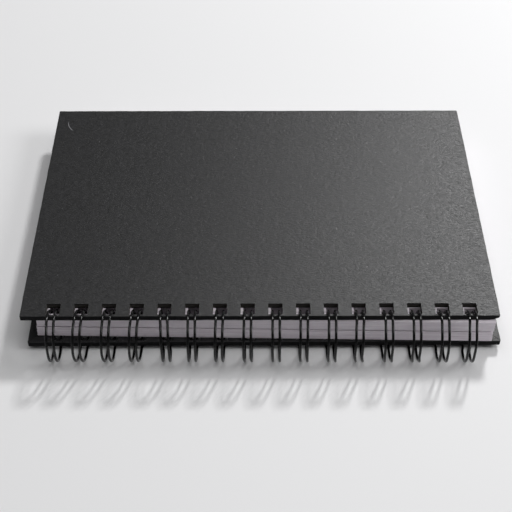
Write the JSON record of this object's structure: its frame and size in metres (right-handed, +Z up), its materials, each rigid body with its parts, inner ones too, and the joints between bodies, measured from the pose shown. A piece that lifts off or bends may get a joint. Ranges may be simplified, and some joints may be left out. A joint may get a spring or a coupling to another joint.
{
  "type": "wire-bound sketchbook",
  "caption": "Closed hardcover sketchbook with black paper-covered boards and white drawing paper, bound along its long side by one black twin-loop wire.",
  "frame": {"origin": "on the table under the middle of the closed book's bounding box", "axes": "+X along the spine, +Y from the wire to the fore-edge, +Z up out of the front cover"},
  "size_m": [0.2213, 0.1683, 0.0235],
  "materials": {
    "wrap_paper": "matt black printed covering paper with a fine fibrous grain",
    "greyboard": "raw grey bookbinding board",
    "lining_paper": "matt black",
    "drawing_paper": "uncoated white cartridge paper",
    "coated_wire": "gloss black nylon-coated steel wire"
  },
  "bodies": {
    "back_cover": {"back_wrap": "wrap_paper", "back_board": "greyboard", "back_lining": "lining_paper"},
    "lower_pages": {"lower_leaves_01": "drawing_paper", "lower_leaves_02": "drawing_paper", "lower_leaves_03": "drawing_paper", "lower_leaves_04": "drawing_paper", "lower_leaves_05": "drawing_paper", "lower_leaves_06": "drawing_paper"},
    "upper_pages": {"upper_leaves_01": "drawing_paper", "upper_leaves_02": "drawing_paper", "upper_leaves_03": "drawing_paper", "upper_leaves_04": "drawing_paper", "upper_leaves_05": "drawing_paper", "upper_leaves_06": "drawing_paper", "upper_leaves_07": "drawing_paper"},
    "front_cover": {"front_wrap": "wrap_paper", "front_board": "greyboard", "front_lining": "lining_paper"},
    "wire": {"twin_loop_wire": "coated_wire"}
  },
  "joints": [
    {"name": "lower_pages_turn", "type": "hinge", "parent": "back_cover", "child": "lower_pages", "pos_m": [0, -0.0721, 0.012], "axis": [1, 0, 0], "range_deg": [0, 180]},
    {"name": "upper_pages_turn", "type": "hinge", "parent": "lower_pages", "child": "upper_pages", "pos_m": [0, -0.0721, 0.012], "axis": [1, 0, 0], "range_deg": [0, 180]},
    {"name": "front_cover_turn", "type": "hinge", "parent": "upper_pages", "child": "front_cover", "pos_m": [0, -0.0721, 0.012], "axis": [1, 0, 0], "range_deg": [0, 180]},
    {"name": "wire_turn", "type": "hinge", "parent": "back_cover", "child": "wire", "pos_m": [0, -0.0721, 0.012], "axis": [-1, 0, 0], "range_deg": [0, 215]}
  ]
}
